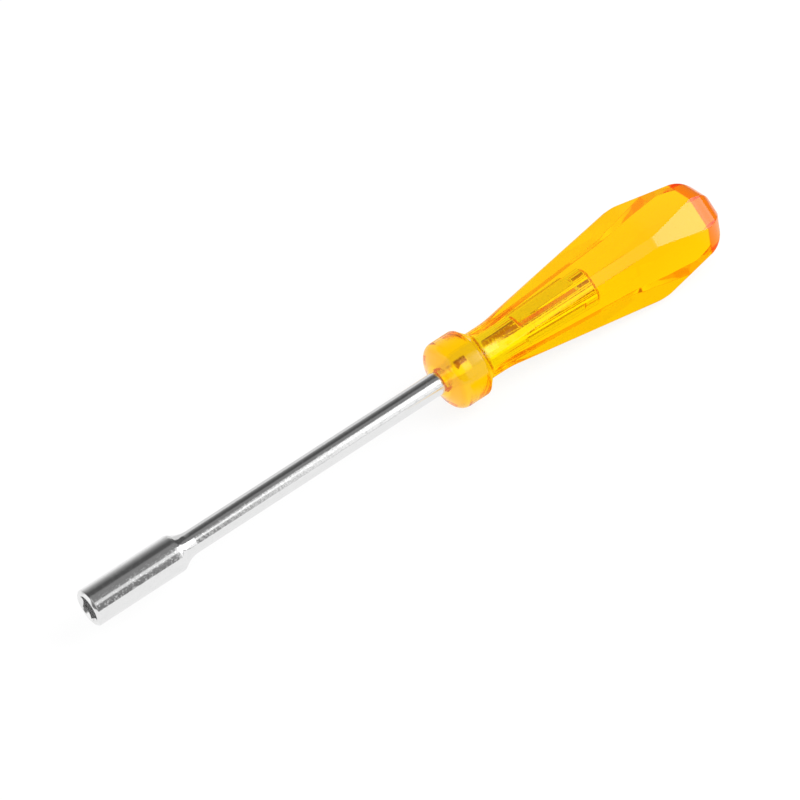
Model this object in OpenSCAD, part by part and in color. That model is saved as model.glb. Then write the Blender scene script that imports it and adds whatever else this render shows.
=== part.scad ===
// Nut driver: a one-piece forged blade with a hexagon socket, driven into a moulded see-through handle.
// The tool lies along X. The origin is the centre of the socket's mouth, and the handle is towards +X.

/* [Socket] */
// Size across the flats of the nut
nut_af = 7; // [6:0.5:7.5]
// Play between the nut and the socket, flat to flat
nut_play = 0.1; // [0.02:0.01:0.2]
// Depth of the hexagon
hex_depth = 11; // [6:0.5:16]
// Turn of the hexagon about the tool's axis
hex_turn = 5; // [-30:1:30]
// Diameter of the drilled hole behind the hexagon, for the end of a stud
stud_bore_d = 5.6; // [4:0.1:5.9]
// Depth of the drilled hole from the mouth
stud_bore_depth = 22; // [18:0.5:26]
// Angle of the drill's point
drill_angle = 118; // [90:1:140]
// Outside diameter of the socket
socket_d = 11.4; // [10.5:0.1:13]
// Length of the socket from the mouth to its shoulder
socket_len = 29.5; // [27:0.5:40]
// Bevel round the outside of the mouth
mouth_bevel = 0.6; // [0.2:0.1:0.8]
// Lead-in round the inside of the mouth, past the hexagon's corners
lead_in = 0.25; // [0.1:0.05:0.4]
// Angle between the lead-in and the tool's axis
lead_in_angle = 45; // [30:1:60]

/* [Shank] */
// Diameter of the shank
shank_d = 7.1; // [6:0.1:7.6]
// Length of the blade outside the handle
blade_len = 125; // [75:1:200]
// Length of the bevel behind the socket
shoulder_len = 1.2; // [0.5:0.1:2]
// Depth of the bevel behind the socket
shoulder_drop = 0.4; // [0.2:0.05:0.8]
// Radius of the hollow curve that runs from the socket into the shank
throat_r = 9.4; // [6:0.2:20]

/* [Tang] */
// Length of the shank inside the handle
tang_len = 57; // [54:1:75]
// Bevel at the tang's end
tang_bevel = 0.8; // [0.3:0.1:1.5]
// Distance from the handle's front to the pressed stretch
press_start = 29; // [20:1:33]
// Length of the pressed stretch
press_len = 22.6; // [10:0.2:24]
// Thickness left between the two pressed flats
press_t = 5.8; // [4.6:0.1:5.9]
// Turn of the pressed flats about the tool's axis
press_turn = 0; // [-45:1:45]
// Width over both wings
wing_span = 8.8; // [8:0.1:9.6]
// Thickness of the wings
wing_t = 1.6; // [1:0.1:2]
// Slope of the wings' ends, measured along the shank
wing_slope = 1; // [0.2:0.1:2]
// Gap between the tang and the handle, each side
tang_gap = 0.01; // [0.01:0.01:0.05]

/* [Collar] */
// Diameter of the collar
collar_d = 21.6; // [20:0.1:26]
// Diameter of the flat round the shank
nose_d = 8.8; // [8.2:0.1:11]
// Length of the cone in front, up to the collar's full diameter
nose_len = 2.4; // [1.5:0.05:4]
// Rounding between the cone and the collar's rim
rim_round = 3.2; // [0.8:0.1:3.8]
// Distance from the front to the end of the rim
rim_end = 11.4; // [9:0.1:15]
// Radius of the hollow behind the collar
neck_fillet = 3; // [1:0.1:4]

/* [Grip] */
// Size across the wide flats at the neck
neck_af = 13.4; // [12:0.1:15]
// Size across the corner facets at the neck
neck_d = 15.2; // [14:0.1:17]
// Distance from the front to where the neck starts to widen
flare_start = 22; // [19:0.5:30]
// Size across the wide flats from the crest to the butt
grip_af = 24.8; // [23:0.1:28]
// Size across the corner facets at the crest
crest_d = 31.4; // [29:0.1:33]
// Distance from the front to the crest
crest_at = 76.4; // [65:0.2:85]
// Size across the corner facets at the butt's edge
butt_d = 24.6; // [23:0.1:28]
// Distance from the front to the butt's edge
butt_at = 94.2; // [88:0.2:105]
// Height of the domed butt over the corner facets
dome_h = 10.6; // [6:0.1:11]
// Extra height of the dome over the wide flats, cut off by the corner facets
dome_crown = 0.2; // [0.1:0.05:1]
// How far the wide flats' creases lie behind those of the corner facets
crease_shift = 0.6; // [0.2:0.1:2]

/* [Hidden] */
$fn = 96;
socket_r = socket_d / 2;
shank_r = shank_d / 2;
collar_r = collar_d / 2;
hex_af = nut_af + nut_play;
hex_corner_r = hex_af / 2 / cos(30);
lead_in_r = hex_corner_r + lead_in;
drill_tip = stud_bore_d / 2 / tan(drill_angle / 2);

// The hollow curve starts at the bevel's foot and runs out along the shank.
throat_top = socket_r - shoulder_drop;
throat_start = socket_len + shoulder_len;
throat_drop = throat_top - shank_r;
throat_end = throat_start + sqrt(throat_r * throat_r - pow(throat_r - throat_drop, 2));

// The rim's rounding touches the cone and the rim.
nose_slope = atan2(nose_len, collar_r - nose_d / 2);
rim_reach = rim_round * tan((90 - nose_slope) / 2);
rim_centre = [collar_r - rim_round, nose_len + rim_reach];

// The collar's back slopes down to a core that lies just inside the neck's flats.
back_slope = 45;
core_sink = 0.2;
core_r = neck_af / 2 - core_sink;
back_foot = rim_end + (collar_r - core_r) / tan(back_slope);
fillet_reach = neck_fillet * tan(back_slope / 2);
fillet_centre = [core_r + neck_fillet, back_foot + fillet_reach];
fillet_top = [core_r + fillet_reach * sin(back_slope), back_foot - fillet_reach * cos(back_slope)];

grip_start = (nose_len + rim_end) / 2;
slab_w = 2 * max(crest_d, collar_d);

// Lays a shape that stands on Z along the tool's axis.
module along_axis() {
    rotate([0, 90, 0]) children();
}

// Half section of the blade: radius along X, distance from the mouth along Y.
module blade_section() {
    tang_end = blade_len + tang_len;
    difference() {
        polygon([
            [0, 0],
            [socket_r - mouth_bevel, 0],
            [socket_r, mouth_bevel],
            [socket_r, socket_len],
            [throat_top, throat_start],
            [shank_r + throat_r, throat_end],
            [shank_r, throat_end],
            [shank_r, tang_end - tang_bevel],
            [shank_r - tang_bevel, tang_end],
            [0, tang_end],
        ]);
        translate([shank_r + throat_r, throat_end]) circle(r = throat_r);
    }
}

// Hexagon, drilled hole with its point, and lead-in, all open at the mouth.
module socket_recess() {
    lead_in_len = (lead_in_r - stud_bore_d / 2) / tan(lead_in_angle);
    rotate([hex_turn, 0, 0]) along_axis() translate([0, 0, -lead_in]) {
        cylinder(r = hex_corner_r, h = hex_depth + lead_in, $fn = 6);
    }
    along_axis() cylinder(d = stud_bore_d, h = stud_bore_depth);
    along_axis() translate([0, 0, stud_bore_depth]) cylinder(d1 = stud_bore_d, d2 = 0, h = drill_tip);
    along_axis() cylinder(r1 = lead_in_r, r2 = stud_bore_d / 2, h = lead_in_len);
}

// The two cuts that leave the pressed flats, measured from the handle's front.
module press_cuts(gap) {
    for (side = [0, 1]) {
        mirror([0, 0, side]) translate([press_start + gap, -shank_d, press_t / 2 + gap]) {
            cube([press_len - 2 * gap, 2 * shank_d, shank_d]);
        }
    }
}

// The two wings that the pressing raises, as one plate through the shank.
module wings(gap) {
    root = shank_r - wing_t / 2;
    half = wing_span / 2 + gap;
    first = press_start - gap;
    last = press_start + press_len + gap;
    linear_extrude(height = wing_t + 2 * gap, center = true) {
        polygon([
            [first, -root],
            [first + wing_slope, -half],
            [last - wing_slope, -half],
            [last, -root],
            [last, root],
            [last - wing_slope, half],
            [first + wing_slope, half],
            [first, root],
        ]);
    }
}

// Places the pressed stretch in the tool.
module at_press() {
    translate([blade_len, 0, 0]) rotate([press_turn, 0, 0]) children();
}

module blade() {
    color("silver")
    difference() {
        union() {
            difference() {
                along_axis() rotate_extrude() blade_section();
                at_press() press_cuts(0);
            }
            at_press() wings(0);
        }
        socket_recess();
    }
}

// Room for the tang in the handle, open at the front.
module tang_room() {
    difference() {
        translate([blade_len - nose_len, 0, 0]) along_axis() {
            cylinder(r = shank_r + tang_gap, h = nose_len + tang_len + tang_gap);
        }
        at_press() press_cuts(tang_gap);
    }
    at_press() wings(tang_gap);
}

// Half section of the collar: radius along X, distance from the handle's front along Y.
module collar_section() {
    difference() {
        union() {
            polygon([
                [0, 0],
                [nose_d / 2, 0],
                [collar_r - rim_reach * cos(nose_slope), nose_len - rim_reach * sin(nose_slope)],
                rim_centre,
                [collar_r, rim_centre[1]],
                [collar_r, rim_end],
                fillet_top,
                fillet_centre,
                [core_r, fillet_centre[1]],
                [0, fillet_centre[1]],
            ]);
            translate(rim_centre) circle(r = rim_round);
        }
        translate(fillet_centre) circle(r = neck_fillet);
    }
}

// Side view of the grip between two opposite facets, from inside the collar to the dome's top.
// The creases between the stretches move back by shift, and the top stays at its own distance.
module facet_outline(neck, crest, butt, top, shift) {
    flare = flare_start + shift;
    ridge = crest_at + shift;
    edge = butt_at + shift;
    dome = top - edge;
    dome_r = (dome * dome + butt * butt) / (2 * dome);
    polygon([
        [grip_start, -neck],
        [flare, -neck],
        [ridge, -crest],
        [edge, -butt],
        [edge, butt],
        [ridge, crest],
        [flare, neck],
        [grip_start, neck],
    ]);
    intersection() {
        translate([top - dome_r, 0]) circle(r = dome_r);
        translate([edge, -dome_r]) square(2 * dome_r);
    }
}

// The space between two opposite facets, turned about the tool's axis.
module facet_pair(turn, neck, crest, butt, top, shift) {
    rotate([turn, 0, 0]) linear_extrude(height = slab_w, center = true) {
        facet_outline(neck, crest, butt, top, shift);
    }
}

// Four wide flats with a narrow facet on each corner, all running over the dome.
module grip() {
    butt_end = butt_at + dome_h;
    intersection() {
        facet_pair(0, neck_af / 2, grip_af / 2, grip_af / 2, butt_end + dome_crown, crease_shift);
        facet_pair(90, neck_af / 2, grip_af / 2, grip_af / 2, butt_end + dome_crown, crease_shift);
        facet_pair(45, neck_d / 2, crest_d / 2, butt_d / 2, butt_end, 0);
        facet_pair(135, neck_d / 2, crest_d / 2, butt_d / 2, butt_end, 0);
    }
}

module handle() {
    color("orange")
    difference() {
        translate([blade_len, 0, 0]) {
            along_axis() rotate_extrude() collar_section();
            grip();
        }
        tang_room();
    }
}

handle();
blade();
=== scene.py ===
import math

import bpy
import numpy as np
from mathutils import Matrix, Vector


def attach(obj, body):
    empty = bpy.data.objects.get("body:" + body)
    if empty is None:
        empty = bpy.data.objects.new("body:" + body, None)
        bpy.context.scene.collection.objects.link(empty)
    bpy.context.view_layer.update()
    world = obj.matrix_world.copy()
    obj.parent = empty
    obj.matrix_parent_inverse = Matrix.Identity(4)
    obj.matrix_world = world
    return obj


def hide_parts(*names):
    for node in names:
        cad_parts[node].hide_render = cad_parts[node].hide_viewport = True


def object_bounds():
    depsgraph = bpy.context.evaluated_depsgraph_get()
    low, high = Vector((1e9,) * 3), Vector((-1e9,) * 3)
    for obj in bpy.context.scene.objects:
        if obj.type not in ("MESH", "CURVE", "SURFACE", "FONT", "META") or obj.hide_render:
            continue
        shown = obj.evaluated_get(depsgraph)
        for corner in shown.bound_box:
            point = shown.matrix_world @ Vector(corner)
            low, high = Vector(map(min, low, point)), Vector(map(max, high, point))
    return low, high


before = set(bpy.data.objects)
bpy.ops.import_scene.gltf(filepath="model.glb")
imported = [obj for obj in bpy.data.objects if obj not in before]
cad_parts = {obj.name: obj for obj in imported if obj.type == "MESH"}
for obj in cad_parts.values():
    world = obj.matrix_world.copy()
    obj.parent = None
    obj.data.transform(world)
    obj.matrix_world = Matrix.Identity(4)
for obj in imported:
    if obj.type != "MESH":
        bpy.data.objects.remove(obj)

cad_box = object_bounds()

# Sizes in millimetres, as in the part's source. Distances on the blade run from the socket's mouth,
# and those on the handle from the handle's front.
MM = 0.001
SOCKET_R = 5.7
SOCKET_LEN = 29.5
MOUTH_BEVEL = 0.6
HEX_AF = 7.1
HEX_DEPTH = 11.0
HEX_TURN = 5.0
LEAD_IN = 0.25
LEAD_IN_R = HEX_AF / 2 / math.cos(math.radians(30)) + LEAD_IN
STUD_BORE_R = 2.8
STUD_BORE_DEPTH = 22.0
SHANK_R = 3.55
BLADE_LEN = 125.0
SHOULDER_LEN = 1.2
SHOULDER_DROP = 0.4
THROAT_R = 9.4
TANG_LEN = 57.0
TANG_BEVEL = 0.8
PRESS_START = 29.0
PRESS_LEN = 22.6
PRESS_T = 5.8
PRESS_TURN = 0.0
WING_SPAN = 8.8
WING_T = 1.6
WING_SLOPE = 1.0

COLLAR_R = 10.8
NOSE_R = 4.4
NOSE_LEN = 2.4
RIM_ROUND = 3.2
RIM_END = 11.4
NECK_FILLET = 3.0
NECK_FLAT = 6.7
NECK_CORNER = 7.6
CORE_R = 6.5
FLARE_START = 22.0
GRIP_FLAT = 12.4
CREST_CORNER = 15.7
CREST_AT = 76.4
BUTT_CORNER = 12.3
BUTT_AT = 94.2
BUTT_END = 104.8
CREASE_SHIFT = 0.6

# Roundings that the source leaves sharp, in millimetres.
EDGE_ROUND = 0.4
NECK_ROUND = 3.0
NECK_ROUND_REACH = 30.0
FLARE_BLEND = 3.0
CREST_BLEND = 2.0
RIM_BACK_ROUND = 0.85
RIM_BACK_SHIFT = 0.35
COLLAR_BLEND = 0.35
COLLAR_BLEND_START = 8.0
WING_BLEND = 0.12

# Points round the handle and the blade.
SIDES = 8
SIDE_TURN = 45
CORNER_POINTS = 7
SIDE_SHARES = (0.015, 0.06, 0.16, 0.3, 0.44, 0.56, 0.7, 0.84, 0.94, 0.985)
BLADE_AROUND = 192

# Amber plastic. A range such as CONE_FADE runs from the handle's front, in millimetres.
AMBER = (1.0, 0.71, 0.002, 1.0)
DEEP_ORANGE = (0.97, 0.10, 0.002, 1.0)
AMBER_PASS = (1.0, 0.96, 0.0, 1.0)
AMBER_DENSITY = 200.0
AMBER_IOR = 1.47
DOME_FADE = 0.6
CONE_FADE = (1.5, 4.2)
CONE_SHARE = 0.5
NOSE_FADE = 1.3
COLLAR_FADE = 2.0
COLLAR_SHARE = 0.2

# Satin chrome.
CHROME_DARK = (0.86, 0.86, 0.86, 1.0)
CHROME_PALE = (0.94, 0.94, 0.94, 1.0)
CHROME_ROUGH = 0.07
CLOUD_ROUGH = 0.04
SPECK_ROUGH = 0.15
SPECK_RANGE = (0.5, 0.7)

# The table and what mirrors see of it, in metres.
WHITE = (1.0, 1.0, 1.0, 1.0)
FLOOR_GREY = (0.9, 0.9, 0.9, 1.0)
FLOOR_HALF = 3.0
FLOOR_SEEN = 0.85
SHADE_TONE = (1.0, 0.6, 0.05, 1.0)
SHADE_ALONG = (0.13, 0.142, 0.225, 0.25)
SHADE_ACROSS = (0.0016, 0.0049)
SHADE_REACH = (0.06, 0.09)
CLEAR_LIFT = 0.08
MIRROR_DIM = 0.1
MIRROR_FAR_DIM = 0.8
MIRROR_FAR = (0.26, 0.3)
CARD_START = 0.06
CARD_END = 0.16
CARD_BACK = 0.08
CARD_TOP = 0.05
CARD_LEVEL = 0.7

# The room: levels of light, and ranges of direction. Two values rise softly from the first to the second,
# and four values rise and fall again.
HALF_ROOT = 0.707
ROOM_LEVEL = 0.08
WALL_LEVEL = 0.75
WALL_TOP = 0.85
WALL_FALL = 1.3
WALL_AWAY = (-0.1, 0.2)
WALL_END = (0.56, 0.66)
CEILING_LEVEL = 0.09
CEILING_LIFT = 0.05
CEILING_UP = (0.2, 0.6)
CEILING_END = (0.0, 0.25)
FRONT_LEVEL = 0.8
FRONT_END = (-0.8, -0.5)
FRONT_AWAY = (-0.15, 0.15)
FILL_LEVEL = 0.45
FILL_RIGHT = (0.11, 0.15, 0.16, 0.24)
FILL_FACING = (0.6, 0.9)
STRIP_LEVEL = 0.72
STRIP_LIFT = 0.3
STRIP_LIFT_RIGHT = (0.285, 0.315)
STRIP_RIGHT = (0.15, 0.25)
STRIP_HEIGHT = (0.0, 0.06)
STRIP_FACING = (0.2, 0.5)
PANEL_RIGHT = (0.30, 0.345)
PANEL_SLANT = 0.445
PANEL_EDGE = (-0.04, 0.06)
WINDOW_LEVEL = 2.6
WINDOW_RIGHT = (0.37, 0.41)
WINDOW_DIM = 0.5
WINDOW_DIM_RIGHT = (0.8, 0.97)
WINDOW_HEIGHT = (0.02, 0.07)
BROWN_TONE = (0.4, 0.19, 0.1, 1.0)
BROWN_UP = (0.5, 0.62)
BROWN_SLANT = (-0.03, 0.03)
BROWN_END = (0.3, 0.5)
BROWN_RIGHT = (0.30, 0.38, 0.58, 0.66)
LIT_LIFT = 0.5
LIT_RIGHT = (0.2, 0.4)
LIT_END = (-0.1, 0.2)

# The lamp and the camera, in metres and degrees.
LAMP_TOWARDS = (0.68, -0.53, 0.50)
LAMP_AIM = 0.112
LAMP_DISTANCE = 1.0
LAMP_WIDTH = 0.85
LAMP_HEIGHT = 1.0
LAMP_POWER = 12.0
CAMERA_LEAN = 21.7
CAMERA_SLANT = 32.88
CAMERA_AIM = 0.1121
CAMERA_LIFT = 0.00173
CAMERA_DISTANCE = 1.034
CAMERA_LENS = 161.1
CAMERA_SENSOR = 36.0

# Light goes to and fro inside the clear handle many times before it leaves.
CLEAR_BOUNCES = 24
ALL_BOUNCES = 32


def turned_grid(name, rows):
    """A closed skin over rings: row j, column k is the point at step j along the axis and step k round it.

    The first and last rings are drawn together to a point at their middle, so that the skin has no hole.
    """
    steps, around, _ = rows.shape
    poles = np.stack([rows[0].mean(axis=0), rows[-1].mean(axis=0)])
    points = np.concatenate([rows.reshape(-1, 3), poles]) * MM
    j, k = np.meshgrid(np.arange(steps - 1), np.arange(around), indexing="ij")
    here = j * around + k
    beside = j * around + (k + 1) % around
    quads = np.stack([here, beside, beside + around, here + around], axis=-1)
    first = np.arange(around)
    second = (first + 1) % around
    start = steps * around
    last = (steps - 1) * around
    front = np.stack([np.full(around, start), second, first], axis=-1)
    back = np.stack([np.full(around, start + 1), last + first, last + second], axis=-1)
    mesh = bpy.data.meshes.new(name)
    faces = quads.reshape(-1, 4).tolist() + front.tolist() + back.tolist()
    mesh.from_pydata(points.tolist(), [], faces)
    mesh.polygons.foreach_set("use_smooth", np.ones(len(mesh.polygons), bool))
    mesh.update()
    piece = bpy.data.objects.new(name, mesh)
    bpy.context.scene.collection.objects.link(piece)
    return piece


def arc(centre, radius, start, stop, count):
    """Points on an arc: centre plus radius times the cosine and sine of an angle from start to stop."""
    angle = np.radians(np.linspace(start, stop, count))
    return np.stack([centre[0] + radius * np.cos(angle), centre[1] + radius * np.sin(angle)], axis=-1)


def line(first, last, shares):
    """Points on a straight line: its first end plus shares of the way to its last."""
    return first + (last - first) * np.array(shares)[:, None]


def level_line(x, radius):
    """Points at one radius, at the distances x."""
    return np.stack([x, np.full(len(x), radius)], axis=-1)


def kink(x, at, blend):
    """A change of slope at one place: 0 before it, x - at behind it, and a parabola over the blend."""
    d = x - at
    return np.where(d < -blend, 0.0, np.where(d > blend, d, (d + blend) ** 2 / (4 * blend)))


def soft_max(a, b, blend):
    """The larger of two, rounded where they cross.

    It is half of their sum plus half of a root: of their difference squared plus the blend squared.
    """
    return 0.5 * (a + b + np.sqrt((a - b) ** 2 + blend ** 2))


def facet_rise(x, neck, crest, butt, shift, top):
    """Distance of one facet from the axis along the handle.

    It is level at the neck, rises to the crest, runs to the butt's edge, and then follows a circle over
    the dome.
    """
    flare = FLARE_START + shift
    ridge = CREST_AT + shift
    edge = BUTT_AT + shift
    rise = (crest - neck) / (ridge - flare)
    fall = (butt - crest) / (edge - ridge)
    side = neck + rise * kink(x, flare, FLARE_BLEND) + (fall - rise) * kink(x, ridge, CREST_BLEND)
    dome = top - edge
    dome_r = (dome * dome + butt * butt) / (2 * dome)
    over = np.sqrt(np.clip(dome_r ** 2 - (x - top + dome_r) ** 2, 0, None))
    return np.where(x > edge, over, side)


def facet_ring(flat, corner, rounding):
    """Rings of an eight-sided section with rounded corners, one for each pair of distances.

    The sides' lines move in by the rounding. Neighbouring lines meet at a corner, and a small arc about each
    corner joins the two sides. More points lie along the side between the arcs, close together near its ends.
    """
    number = np.arange(SIDES)
    turn = np.radians(SIDE_TURN * number)
    reach = np.where(number[None, :] % 2 == 0, flat[:, None], corner[:, None])
    small = np.minimum(rounding, 0.45 * reach.min(axis=1))
    inner = reach - small[:, None]
    ahead = np.roll(inner, -1, axis=1)
    step = math.radians(SIDE_TURN)
    slide = (ahead - inner * math.cos(step)) / math.sin(step)
    normal = np.stack([np.cos(turn), np.sin(turn)], axis=-1)
    along = np.stack([-np.sin(turn), np.cos(turn)], axis=-1)
    vertex = inner[..., None] * normal + slide[..., None] * along
    lead = turn[:, None] + np.radians(np.linspace(0, SIDE_TURN, CORNER_POINTS))
    spread = np.stack([np.cos(lead), np.sin(lead)], axis=-1)
    arcs = vertex[:, :, None, :] + small[:, None, None, None] * spread[None]
    begin = np.roll(arcs[:, :, -1], 1, axis=1)
    end = arcs[:, :, 0]
    share = np.array(SIDE_SHARES)
    sides = begin[:, :, None] + (end - begin)[:, :, None] * share[None, None, :, None]
    return np.concatenate([sides, arcs], axis=2).reshape(len(flat), -1, 2)


def collar_profile():
    """The collar's half section as points of distance and radius, from the front flat to the hollow's foot.

    A cone and the rim touch one arc, the rim turns over a small arc into the sloped back, and the back runs
    into the neck through a hollow arc.
    """
    slope = math.degrees(math.atan2(NOSE_LEN, COLLAR_R - NOSE_R))
    reach = RIM_ROUND * math.tan(math.radians((90 - slope) / 2))
    rim = (NOSE_LEN + reach, COLLAR_R - RIM_ROUND)
    foot = RIM_END + COLLAR_R - CORE_R
    hollow = NECK_FILLET * math.tan(math.radians(22.5))
    pit = (foot + hollow, CORE_R + NECK_FILLET)
    turn_over = (RIM_END - RIM_BACK_SHIFT, COLLAR_R - RIM_BACK_ROUND)
    nose = np.array([[0.0, 1.0], [0.0, 2.6], [0.0, 3.3], [0.0, 3.6], [0.02, 4.1], [0.12, NOSE_R]])
    front = arc(rim, RIM_ROUND, 180 - slope, 90, 14)
    cone = line(nose[-1], front[0], (0.05, 0.2, 0.4, 0.6, 0.8, 0.95))
    back = arc(turn_over, RIM_BACK_ROUND, 90, 45, 6)
    rim_line = line(front[-1], back[0], (0.04, 0.2, 0.4, 0.6, 0.8, 0.96))
    bowl = arc(pit, NECK_FILLET, 225, 270, 16)
    slope_line = line(back[-1], bowl[0], (0.06, 0.25, 0.5, 0.75, 0.94))
    return np.concatenate([nose, cone, front, rim_line, back, slope_line, bowl])


def handle_rings():
    """All rings of the handle from its front to the dome's top.

    Where the round collar and the eight-sided neck meet, the radius is the larger of the two with a soft
    change. Rings lie close together at the crest and at the butt's edge, and closer and closer towards the
    dome's top.
    """
    collar = collar_profile()
    grip = np.concatenate([
        np.linspace(collar[-1, 0] + 0.4, FLARE_START + 3, 12),
        np.linspace(FLARE_START + 4, CREST_AT - 2.5, 40),
        np.linspace(CREST_AT - 1.8, CREST_AT + 2.4, 16),
        np.linspace(CREST_AT + 3.2, BUTT_AT - 0.6, 14),
        BUTT_AT + np.array([-0.2, -0.05, 0.15, 0.35, 0.55, 0.65, 0.9]),
    ])
    dome_start = grip[-1] + 0.4
    swing = np.linspace(0, 1, 42)[:-1]
    dome = BUTT_END - (BUTT_END - dome_start) * (1 - swing) ** 2
    x = np.concatenate([collar[:, 0], grip, dome])
    flat = facet_rise(x, NECK_FLAT, GRIP_FLAT, GRIP_FLAT, CREASE_SHIFT, BUTT_END)
    corner = facet_rise(x, NECK_CORNER, CREST_CORNER, BUTT_CORNER, 0.0, BUTT_END)
    share = np.clip((x - FLARE_START) / NECK_ROUND_REACH, 0, 1)
    rounding = NECK_ROUND + (EDGE_ROUND - NECK_ROUND) * share * (2 - share)
    ring = facet_ring(flat, corner, rounding)
    reach = np.linalg.norm(ring, axis=-1, keepdims=True)
    round_r = np.concatenate([collar[:, 1], np.full(len(x) - len(collar), CORE_R)])[:, None, None]
    distance = x[:, None, None]
    joined = np.where(distance < FLARE_START, soft_max(reach, round_r, COLLAR_BLEND), reach)
    radius = np.where(distance < COLLAR_BLEND_START, round_r, joined)
    section = ring / reach * radius
    out = np.broadcast_to(distance + BLADE_LEN, section.shape[:2] + (1,))
    return np.concatenate([out, section], axis=-1)


def blade_profile():
    """The blade's outside as points of distance and radius, from the tang's end to the mouth.

    The shank is straight and runs into the socket through a hollow arc. The shoulder behind the socket drops
    with the square of its length.
    """
    tang_end = BLADE_LEN + TANG_LEN
    start = SOCKET_LEN + SHOULDER_LEN
    drop = SOCKET_R - SHOULDER_DROP - SHANK_R
    end = start + math.sqrt(THROAT_R ** 2 - (THROAT_R - drop) ** 2)
    opening = math.degrees(math.asin((end - start) / THROAT_R))
    tip = SHANK_R - TANG_BEVEL
    tang = np.array([
        [tang_end, 0.5],
        [tang_end, tip - 0.2],
        [tang_end - 0.06, tip],
        [tang_end - 0.7, SHANK_R - 0.1],
        [tang_end - 0.9, SHANK_R],
        [tang_end - 1.3, SHANK_R],
    ])
    gap = BLADE_LEN + PRESS_START
    pressed = gap + PRESS_LEN
    shank = np.concatenate([
        np.linspace(tang_end - 1.8, pressed + 0.4, 8),
        np.linspace(pressed + 0.2, pressed - 1.6, 14),
        np.linspace(pressed - 2, gap + 2, 12),
        np.linspace(gap + 1.6, gap - 0.2, 14),
        np.linspace(gap - 0.6, end + 0.6, 60),
    ])
    straight = level_line(shank, SHANK_R)
    throat = arc((end, SHANK_R + THROAT_R), THROAT_R, 270, 270 - opening, 22)
    share = np.linspace(0.94, 0, 9)
    shoulder_r = SOCKET_R - SHOULDER_DROP * share ** 2
    shoulder = np.stack([SOCKET_LEN + SHOULDER_LEN * share, shoulder_r], axis=-1)
    socket = level_line(np.linspace(SOCKET_LEN - 1.5, MOUTH_BEVEL + 0.5, 14), SOCKET_R)
    face_r = SOCKET_R - MOUTH_BEVEL
    bevel = np.array([
        [MOUTH_BEVEL + 0.1, SOCKET_R],
        [MOUTH_BEVEL + 0.03, SOCKET_R - 0.01],
        [MOUTH_BEVEL - 0.05, SOCKET_R - 0.06],
        [0.06, face_r + 0.05],
        [0.01, face_r - 0.02],
        [0.0, face_r - 0.1],
    ])
    lip = np.array([[0.0, 4.7], [0.0, 4.5], [0.0, LEAD_IN_R + 0.03]])
    return np.concatenate([tang, straight, throat, shoulder, socket, bevel, lip])


def bore_profile():
    """The drilled hole as points of distance and radius, from the hexagon's floor to the drill's point."""
    end = STUD_BORE_DEPTH
    floor_edge = [[HEX_DEPTH + 0.02, STUD_BORE_R + 0.5], [HEX_DEPTH + 0.1, STUD_BORE_R + 0.06]]
    wall = [[x, STUD_BORE_R] for x in (HEX_DEPTH + 0.3, 13, 16, 19, end - 0.1)]
    point = [[end, STUD_BORE_R - 0.02], [end + 0.1, STUD_BORE_R - 0.16], [end + 1.4, 0.45]]
    return np.array(floor_edge + wall + point)


def pressed_radius(x, radius, turn):
    """Radius of the shank where it is pressed: a circle cut by two flats, with two thin wings across them.

    The flats hold the radius to half their distance over the cosine of the angle. A wing holds it up to the
    nearer of its tip and its side. Both come and go over a short slope at the stretch's ends.
    """
    begin = BLADE_LEN + PRESS_START
    end = begin + PRESS_LEN
    share = np.clip(np.minimum(x - begin, end - x) / WING_SLOPE, 0, 1)
    share = share * share * (3 - 2 * share)
    angle = turn - np.radians(PRESS_TURN)
    across = np.abs(np.sin(angle)) + 1e-9
    beside = np.abs(np.cos(angle)) + 1e-9
    flat = np.minimum(radius, PRESS_T / 2 / across)
    wing = np.minimum(WING_SPAN / 2 / beside, WING_T / 2 / across)
    pressed = soft_max(flat, wing, WING_BLEND)
    return radius + (pressed - radius) * share


def blade_rings():
    """All rings of the blade in one run: from the tang to the mouth outside, then down to the bore's end.

    The hexagon's radius is half its flat size over the cosine of the angle to the nearest flat's middle, and
    the lead-in's cone opens it at the mouth.
    """
    turn = np.linspace(0, 2 * math.pi, BLADE_AROUND, endpoint=False)[None, :]
    outside = blade_profile()
    x = outside[:, :1]
    outer = pressed_radius(x, outside[:, 1:], turn)
    sixth = math.pi / 3
    lean = (turn - math.radians(HEX_TURN) - math.pi / 2) % sixth - sixth / 2
    hexagon = HEX_AF / 2 / np.cos(lean)
    lead_in = (0.03, 0.08, 0.16, 0.24, 0.32, 0.4, 0.5, 0.6, 0.7, 0.8, 0.9)
    wall = (1.2, 2, 4, 6, 8, 10, HEX_DEPTH - 0.1, HEX_DEPTH)
    way = np.array(lead_in + wall)[:, None]
    mouth = np.maximum(hexagon, LEAD_IN_R - way)
    bore = bore_profile()
    pit = np.broadcast_to(bore[:, 1:], (len(bore), BLADE_AROUND))
    distance = np.concatenate([x, way, bore[:, :1]])
    radius = np.concatenate([outer, mouth, pit])
    across = np.broadcast_to(distance, radius.shape)
    return np.stack([across, radius * np.cos(turn), radius * np.sin(turn)], axis=-1)


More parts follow.
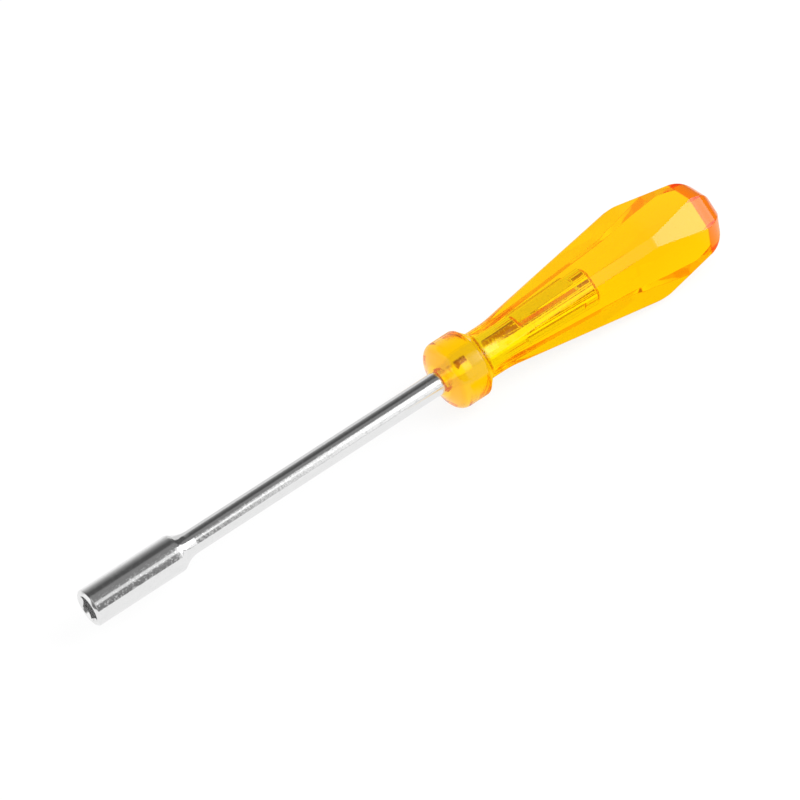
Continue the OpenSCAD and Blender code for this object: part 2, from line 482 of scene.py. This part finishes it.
class Wire:
    """A shader output that can be added, multiplied and compared like a number."""

    def __init__(self, bench, socket):
        self.bench = bench
        self.socket = socket

    def _sum(self, kind, first, second):
        return self.bench.node("ShaderNodeMath", {"operation": kind}, {0: first, 1: second}).out("Value")

    def __add__(self, other):
        return self._sum("ADD", self, other)

    def __radd__(self, other):
        return self._sum("ADD", other, self)

    def __sub__(self, other):
        return self._sum("SUBTRACT", self, other)

    def __rsub__(self, other):
        return self._sum("SUBTRACT", other, self)

    def __mul__(self, other):
        return self._sum("MULTIPLY", self, other)

    def __rmul__(self, other):
        return self._sum("MULTIPLY", other, self)

    def __truediv__(self, other):
        return self._sum("DIVIDE", self, other)

    def __pow__(self, other):
        return self._sum("POWER", self, other)

    def most(self, other):
        return self._sum("MAXIMUM", self, other)

    def least(self, other):
        return self._sum("MINIMUM", self, other)

    def ramp(self, low, high):
        """Rises softly from 0 to 1 between two values."""
        return self.bench.node("ShaderNodeMapRange", {"interpolation_type": "SMOOTHSTEP"},
                               {"Value": self, "From Min": low, "From Max": high}).out("Result")

    def fall(self, low, high):
        """Falls softly from 1 to 0 between two values."""
        return 1.0 - self.ramp(low, high)

    def band(self, low, rise_end, fall_start, high):
        """Rises softly between the first two values and falls between the last two."""
        return self.ramp(low, rise_end) * self.fall(fall_start, high)


class Placed:
    """A shader node that has been set up; out gives one of its outputs."""

    def __init__(self, bench, node):
        self.bench = bench
        self.node = node

    def out(self, name):
        return Wire(self.bench, self.node.outputs[name])


class Bench:
    """One node tree to work on."""

    def __init__(self, tree):
        self.tree = tree
        tree.nodes.clear()

    def node(self, kind, settings=None, values=None):
        """Adds a node: its settings first, then its sockets, each a number, a colour or a wire."""
        made = self.tree.nodes.new(kind)
        for name, value in (settings or {}).items():
            setattr(made, name, value)
        for name, value in (values or {}).items():
            if isinstance(value, Wire):
                self.tree.links.new(value.socket, made.inputs[name])
            else:
                made.inputs[name].default_value = value
        return Placed(self, made)

    def noise(self, place, scale, detail):
        """Cloudy noise of one scale, from 0 to 1."""
        return self.node("ShaderNodeTexNoise", {}, {
            "Vector": place, "Scale": scale, "Detail": detail}).out("Fac")

    def blend(self, share, first, second):
        """A colour between two others; a Mix node's colour is its third output."""
        mix = self.node("ShaderNodeMix", {"data_type": "RGBA"}, {"Factor": share, "A": first, "B": second})
        return mix.out(2)

    def bump(self, strength, height):
        """A fine unevenness of at most a fifth of a millimetre."""
        return self.node("ShaderNodeBump", {}, {
            "Strength": strength, "Distance": 0.2 * MM, "Height": height}).out("Normal")

    def parts(self, vector):
        """The three numbers of a vector."""
        split = self.node("ShaderNodeSeparateXYZ", {}, {0: vector})
        return split.out("X"), split.out("Y"), split.out("Z")


def material_bench(name):
    """A new material with an empty node tree to work on."""
    made = bpy.data.materials.new(name)
    made.use_nodes = True
    return made, Bench(made.node_tree)


def amber_acetate():
    """Clear amber plastic: light passes through it and loses blue at once and green slowly.

    The dome is deep orange on its outside. The collar has a share of that tone, and its cone a larger one.
    """
    made, bench = material_bench("amber_acetate")
    place = bench.node("ShaderNodeTexCoord").out("Object")
    haze = bench.noise(place, 900.0, 3.0)
    rub = bench.noise(place, 120.0, 4.0)
    along, side, rise = bench.parts(place)
    outside = 1.0 - bench.node("ShaderNodeNewGeometry").out("Backfacing")
    front = BLADE_LEN * MM
    crease = front + BUTT_AT * MM
    rim = front + RIM_END * MM
    dome = along.ramp(crease, crease + DOME_FADE * MM)
    wide = (side * side + rise * rise).ramp((NOSE_R * MM) ** 2, (NOSE_FADE * NOSE_R * MM) ** 2)
    cone = wide * along.fall(front + CONE_FADE[0] * MM, front + CONE_FADE[1] * MM)
    collar = along.fall(rim, rim + COLLAR_FADE * MM)
    deep = dome.most(CONE_SHARE * cone).most(COLLAR_SHARE * collar) * outside
    shade = bench.node("ShaderNodeBsdfPrincipled", {}, {
        "Base Color": bench.blend(deep, AMBER, DEEP_ORANGE), "Roughness": 0.02 + 0.03 * haze,
        "IOR": AMBER_IOR, "Transmission Weight": 1.0, "Normal": bench.bump(0.02, rub)})
    soak = bench.node("ShaderNodeVolumeAbsorption", {}, {"Color": AMBER_PASS, "Density": AMBER_DENSITY})
    bench.node("ShaderNodeOutputMaterial", {}, {"Surface": shade.out("BSDF"), "Volume": soak.out("Volume")})
    return made


def satin_chrome():
    """Satin chrome on steel: soft clouds in its tone and a fine speckle of rougher spots."""
    made, bench = material_bench("satin_chrome")
    place = bench.node("ShaderNodeTexCoord").out("Object")
    speck = bench.noise(place, 1500.0, 2.0)
    cloud = bench.noise(place, 300.0, 4.0)
    rough = CHROME_ROUGH + CLOUD_ROUGH * cloud + SPECK_ROUGH * speck.ramp(*SPECK_RANGE)
    shade = bench.node("ShaderNodeBsdfPrincipled", {}, {
        "Base Color": bench.blend(cloud, CHROME_DARK, CHROME_PALE), "Metallic": 1.0,
        "Roughness": rough, "Normal": bench.bump(0.05, speck)})
    bench.node("ShaderNodeOutputMaterial", {}, {"Surface": shade.out("BSDF")})
    return made


def pale_floor():
    """A white floor with a light shadow.

    What mirrors it sees it white, a little dimmer, dark far behind the butt, and amber close to the handle,
    where light falls through the plastic. Through the plastic it is a little brighter.
    """
    made, bench = material_bench("pale_floor")
    path = bench.node("ShaderNodeLightPath")
    glossy = path.out("Is Glossy Ray")
    clear = path.out("Is Transmission Ray")
    seen = (FLOOR_SEEN * path.out("Is Camera Ray") + glossy).least(1.0)
    along, across, _ = bench.parts(bench.node("ShaderNodeTexCoord").out("Object"))
    mirrored = glossy * (1.0 - clear)
    near = path.out("Ray Length").fall(*SHADE_REACH)
    shade = along.band(*SHADE_ALONG) * (across * across).fall(*SHADE_ACROSS) * near * mirrored
    level = 1.0 + CLEAR_LIFT * clear - (MIRROR_DIM + MIRROR_FAR_DIM * along.ramp(*MIRROR_FAR)) * mirrored
    plain = bench.node("ShaderNodeBsdfDiffuse", {}, {"Color": FLOOR_GREY})
    white = bench.node("ShaderNodeEmission", {}, {
        "Color": bench.blend(shade, WHITE, SHADE_TONE), "Strength": level})
    mix = bench.node("ShaderNodeMixShader", {}, {0: seen, 1: plain.out("BSDF"), 2: white.out("Emission")})
    bench.node("ShaderNodeOutputMaterial", {}, {"Surface": mix.out("Shader")})
    return made


def card_white():
    """An evenly lit white card."""
    made, bench = material_bench("white_card")
    glow = bench.node("ShaderNodeEmission", {}, {"Color": WHITE, "Strength": CARD_LEVEL})
    bench.node("ShaderNodeOutputMaterial", {}, {"Surface": glow.out("Emission")})
    return made


def flat_sheet(name, corners, paint):
    """A flat sheet of the studio with four corners."""
    mesh = bpy.data.meshes.new(name)
    mesh.from_pydata(corners, [], [(0, 1, 2, 3)])
    made = bpy.data.objects.new(name, mesh)
    bpy.context.scene.collection.objects.link(made)
    made.data.materials.append(paint)
    return made


def studio_world():
    """White for the camera; metal and plastic mirror a grey room with a white back wall over the table.

    The room has a dim ceiling, a white front, and on the handle's side a strip, a panel and a bright window.
    Through the plastic, a warm brown patch is seen overhead, and the camera's side is a little brighter.
    A direction is split into right along the tool, away from the camera, and up. Low and facing are away and
    up turned by half a right angle, so that facing is the way that the corner facet looks.
    """
    world = bpy.data.worlds.new("studio")
    world.use_nodes = True
    bpy.context.scene.world = world
    bench = Bench(world.node_tree)
    path = bench.node("ShaderNodeLightPath")
    right, away, up = bench.parts(bench.node("ShaderNodeTexCoord").out("Generated"))
    low = -HALF_ROOT * away - HALF_ROOT * up
    facing = HALF_ROOT * up - HALF_ROOT * away
    height = low * low
    wall = WALL_LEVEL * (1.0 - up / WALL_TOP).most(0.0) ** WALL_FALL
    wall = wall * away.ramp(*WALL_AWAY) * right.fall(*WALL_END)
    ceiling = (CEILING_LEVEL + CEILING_LIFT * up.ramp(*CEILING_UP)) * away.fall(*CEILING_END)
    front = FRONT_LEVEL * right.fall(*FRONT_END) * away.ramp(*FRONT_AWAY)
    fill = FILL_LEVEL * right.band(*FILL_RIGHT) * facing.ramp(*FILL_FACING)
    strip = (STRIP_LEVEL + STRIP_LIFT * right.ramp(*STRIP_LIFT_RIGHT)) * right.ramp(*STRIP_RIGHT)
    strip = strip * height.fall(*STRIP_HEIGHT) * facing.ramp(*STRIP_FACING)
    panel = right.ramp(*PANEL_RIGHT) * (low + PANEL_SLANT * facing).ramp(*PANEL_EDGE)
    window = (1.0 - WINDOW_DIM * right.ramp(*WINDOW_DIM_RIGHT)) * right.ramp(*WINDOW_RIGHT)
    window = window * height.fall(*WINDOW_HEIGHT)
    room = (ROOM_LEVEL + wall + ceiling + front + fill).least(1.0).most(strip).most(panel)
    room = room + WINDOW_LEVEL * window
    clear = path.out("Is Transmission Ray")
    brown = up.ramp(*BROWN_UP) * (away + right).ramp(*BROWN_SLANT) * away.fall(*BROWN_END) * clear
    brown = brown * right.band(*BROWN_RIGHT)
    lit = right.ramp(*LIT_RIGHT) * away.fall(*LIT_END) * clear
    mirrored = path.out("Is Glossy Ray") * (1.0 - clear)
    level = (1.0 - mirrored) * (1.0 + LIT_LIFT * lit) + mirrored * room
    shine = bench.node("ShaderNodeBackground", {}, {
        "Color": bench.blend(brown, WHITE, BROWN_TONE), "Strength": level})
    bench.node("ShaderNodeOutputWorld", {}, {"Surface": shine.out("Background")})


def softbox(name):
    """A soft rectangular lamp that faces the middle of the tool from the side of the handle's butt."""
    lamp = bpy.data.lights.new(name, "AREA")
    lamp.shape = "RECTANGLE"
    lamp.size = LAMP_WIDTH
    lamp.size_y = LAMP_HEIGHT
    lamp.energy = LAMP_POWER
    made = bpy.data.objects.new(name, lamp)
    direction = Vector(LAMP_TOWARDS).normalized()
    place = Vector((LAMP_AIM, 0.0, 0.0)) + direction * LAMP_DISTANCE
    turn = direction.to_track_quat("Z", "Y").to_matrix().to_4x4()
    made.matrix_world = Matrix.Translation(place) @ turn
    bpy.context.scene.collection.objects.link(made)
    return made


def photo_camera():
    """The camera of the photograph: a corner facet faces it, and the tool's axis runs up to the right.

    The tool leans towards the camera at its tip. From the lean come the direction to the camera and the
    axis's direction in the picture; turning these by the axis's angle gives the picture's right and up.
    """
    lean = math.radians(CAMERA_LEAN)
    slant = math.radians(CAMERA_SLANT)
    half = math.sqrt(0.5)
    facet = np.array([0.0, -half, half])
    down = np.array([0.0, -half, -half])
    axis = np.array([1.0, 0.0, 0.0])
    to_camera = -math.sin(lean) * axis + math.cos(lean) * facet
    along = math.cos(lean) * axis + math.sin(lean) * facet
    right = math.cos(slant) * along + math.sin(slant) * down
    up = math.sin(slant) * along - math.cos(slant) * down
    aim = CAMERA_AIM * axis - CAMERA_LIFT * down
    data = bpy.data.cameras.new("photo_camera")
    data.lens = CAMERA_LENS
    data.sensor_width = CAMERA_SENSOR
    made = bpy.data.objects.new("photo_camera", data)
    matrix = np.eye(4)
    matrix[:3] = np.stack([right, up, to_camera, aim + CAMERA_DISTANCE * to_camera], axis=-1)
    made.matrix_world = Matrix(matrix.tolist())
    bpy.context.scene.collection.objects.link(made)
    bpy.context.scene.camera = made


handle = turned_grid("handle_moulding", handle_rings())
handle.data.materials.append(amber_acetate())
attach(handle, "root")
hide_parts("handle")

blade = turned_grid("blade_forging", blade_rings())
blade.data.materials.append(satin_chrome())
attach(blade, "root")
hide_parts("blade")

floor_z = cad_box[0][2]
floor_corners = [(FLOOR_HALF * x, FLOOR_HALF * y, floor_z) for x, y in ((-1, -1), (1, -1), (1, 1), (-1, 1))]
floor = flat_sheet("floor", floor_corners, pale_floor())

card_outline = ((CARD_START, floor_z), (CARD_END, floor_z), (CARD_END, CARD_TOP), (CARD_START, CARD_TOP))
card = flat_sheet("white_card", [(x, CARD_BACK, z) for x, z in card_outline], card_white())
card.visible_camera = False
card.visible_diffuse = False
card.visible_transmission = False
card.visible_shadow = False

studio_world()
lamp = softbox("side_softbox")
lamp.visible_transmission = False
lamp.visible_glossy = False
photo_camera()
scene = bpy.context.scene
scene.view_settings.view_transform = "Standard"
scene.cycles.glossy_bounces = CLEAR_BOUNCES
scene.cycles.transmission_bounces = CLEAR_BOUNCES
scene.cycles.max_bounces = ALL_BOUNCES
